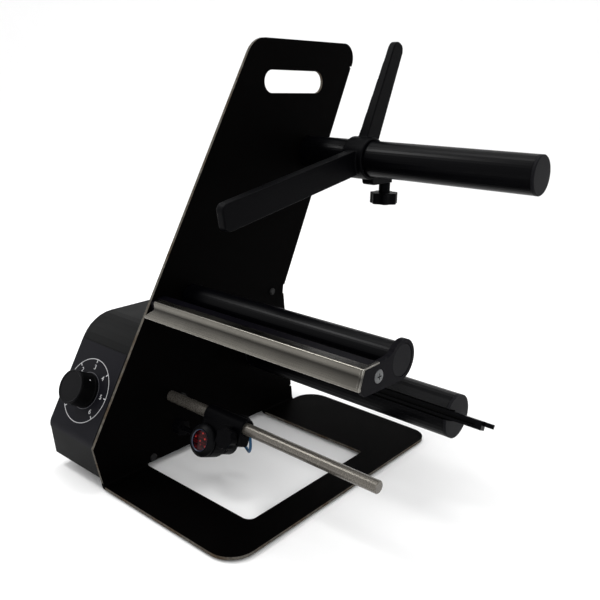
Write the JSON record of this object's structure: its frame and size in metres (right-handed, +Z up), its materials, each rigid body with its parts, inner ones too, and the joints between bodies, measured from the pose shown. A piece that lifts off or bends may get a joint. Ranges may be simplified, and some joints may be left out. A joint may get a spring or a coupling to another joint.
{
  "type": "label dispenser",
  "caption": "Tabletop motorised label dispenser with a bent steel frame, supply shaft with core guide, peel plate, idler roller, liner take-up shaft and label sensor.",
  "frame": {"origin": "on the surface that the feet stand on, below the middle of the whole object's box", "axes": "+Z up; +X along the shafts, from the housing side to their free ends; -Y the front, where the label comes off the peel plate"},
  "size_m": [0.368, 0.3774, 0.4166],
  "materials": {
    "black_powder_coat": "satin black powder coat with bare, slightly rusty cut edges",
    "grey_cover_paint": "fine textured dark grey-green paint",
    "black_shaft_coat": "semi-gloss black coating, faintly streaked along the shaft",
    "black_hand_plastic": "satin black moulded plastic",
    "grey_end_plastic": "matt dark grey moulded plastic",
    "dial_film": "matt bluish-grey printed film",
    "brushed_stainless": "stainless steel brushed along its length",
    "zinc_plate": "bright zinc plate",
    "plain_aluminium": "turned aluminium",
    "gear_brass": "machined brass",
    "board_green": "green solder mask",
    "foot_rubber": "matt black rubber",
    "red_window": "clear dark red sensor window with a cell pattern",
    "blue_jacket": "soft blue cable jacket",
    "black_jacket": "black cable jacket"
  },
  "bodies": {
    "frame": {"frame_plate": "black_powder_coat", "peel_bar": "black_powder_coat", "end_bracket": "black_powder_coat", "panel_screw_rear": "black_powder_coat", "panel_screw_front": "black_powder_coat", "housing_cover": "grey_cover_paint", "rear_panel": "grey_cover_paint", "supply_shaft": "black_shaft_coat", "power_switch_body": "black_hand_plastic", "power_jack": "black_hand_plastic", "supply_shaft_cap": "grey_end_plastic", "bracket_cap_disc": "grey_end_plastic", "dial_overlay": "dial_film", "peel_plate": "brushed_stainless", "sensor_rod": "brushed_stainless", "supply_shaft_bolt": "zinc_plate", "peel_bar_screw": "zinc_plate", "bracket_screw": "zinc_plate", "axle_screw_inner": "zinc_plate", "axle_screw_outer": "zinc_plate", "idler_axle": "zinc_plate", "spindle_bearing_outer": "zinc_plate", "spindle_bearing_inner": "zinc_plate", "sensor_rod_screw": "zinc_plate", "gear_motor": "zinc_plate", "motor_bracket": "zinc_plate", "potentiometer": "zinc_plate", "potentiometer_nut": "zinc_plate", "bearing_hub": "plain_aluminium", "controller_board": "board_green", "rubber_foot_1": "foot_rubber", "rubber_foot_2": "foot_rubber", "rubber_foot_3": "foot_rubber", "rubber_foot_4": "foot_rubber", "sensor_cable": "black_jacket", "cable_grommet": "black_jacket"},
    "guide": {"core_guide": "black_hand_plastic"},
    "guide_knob": {"core_guide_knob": "black_hand_plastic"},
    "idler": {"idler_roller": "black_shaft_coat", "idler_bush_inner": "black_hand_plastic", "idler_bush_outer": "black_hand_plastic"},
    "rewind": {"rewind_shaft": "black_shaft_coat", "rewind_end_disc": "grey_end_plastic", "rewind_spindle": "zinc_plate", "drive_gear": "gear_brass"},
    "motor_rotor": {"motor_pinion": "gear_brass", "motor_shaft": "zinc_plate"},
    "clip": {"liner_clip": "black_shaft_coat"},
    "sensor_carriage": {"clamp_liner": "black_hand_plastic", "lead_coupler": "black_hand_plastic"},
    "sensor": {"sensor_clamp": "black_hand_plastic", "sensor_barrel": "grey_end_plastic", "sensor_bezel": "grey_end_plastic", "sensor_lens": "red_window", "sensor_lead": "blue_jacket"},
    "rod_knob": {"rod_clamp_knob": "black_hand_plastic"},
    "barrel_knob": {"barrel_clamp_knob": "black_hand_plastic"},
    "dial_knob": {"speed_knob": "black_hand_plastic", "potentiometer_shaft": "zinc_plate"},
    "switch_rocker": {"power_switch_rocker": "black_hand_plastic"}
  },
  "joints": [
    {"name": "core_guide_slide", "type": "slide", "parent": "frame", "child": "guide", "axis": [1, 0, 0], "range_m": [-0.055, 0.175]},
    {"name": "core_guide_knob_turn", "type": "hinge", "parent": "guide", "child": "guide_knob", "pos_m": [-0.027, 0.148, 0.253], "axis": [0, 0, -1], "range_deg": [0, 360]},
    {"name": "idler_spin", "type": "hinge", "parent": "frame", "child": "idler", "pos_m": [0, -0.0666, 0.1682], "axis": [1, 0, 0], "continuous": true},
    {"name": "rewind_spin", "type": "hinge", "parent": "frame", "child": "rewind", "pos_m": [0, 0.0293, 0.0865], "axis": [1, 0, 0], "continuous": true},
    {"name": "motor_spin", "type": "hinge", "parent": "frame", "child": "motor_rotor", "pos_m": [-0.136, -0.009, 0.0865], "axis": [1, 0, 0], "continuous": true},
    {"name": "liner_clip_slide", "type": "slide", "parent": "rewind", "child": "clip", "axis": [1, 0, 0], "range_m": [0, 0.2]},
    {"name": "sensor_slide", "type": "slide", "parent": "frame", "child": "sensor_carriage", "axis": [1, 0, 0], "range_m": [-0.013, 0.14], "deforming": ["sensor_cable"]},
    {"name": "sensor_tilt", "type": "hinge", "parent": "sensor_carriage", "child": "sensor", "pos_m": [-0.04, -0.0948, 0.0701], "axis": [1, 0, 0], "range_deg": [-25, 25], "deforming": ["sensor_lead"]},
    {"name": "rod_clamp_knob_turn", "type": "hinge", "parent": "sensor", "child": "rod_knob", "pos_m": [-0.009, -0.0993, 0.05897], "axis": [0, -0.9272, 0.3746], "range_deg": [0, 360]},
    {"name": "barrel_clamp_knob_turn", "type": "hinge", "parent": "sensor", "child": "barrel_knob", "pos_m": [-0.082, -0.10425, 0.04803], "axis": [-1, 0, 0], "range_deg": [0, 360]},
    {"name": "speed_knob_turn", "type": "hinge", "parent": "frame", "child": "dial_knob", "pos_m": [-0.148, -0.16371, 0.08566], "axis": [0, -0.8677, 0.4972], "range_deg": [-90, 180]},
    {"name": "power_switch_rock", "type": "hinge", "parent": "frame", "child": "switch_rocker", "pos_m": [-0.155, 0.07554, 0.10987], "axis": [-1, 0, 0], "range_deg": [0, 10]}
  ],
  "couplings": [
    {"joint": "motor_spin", "follows": "rewind_spin", "ratio": -3.75}
  ]
}
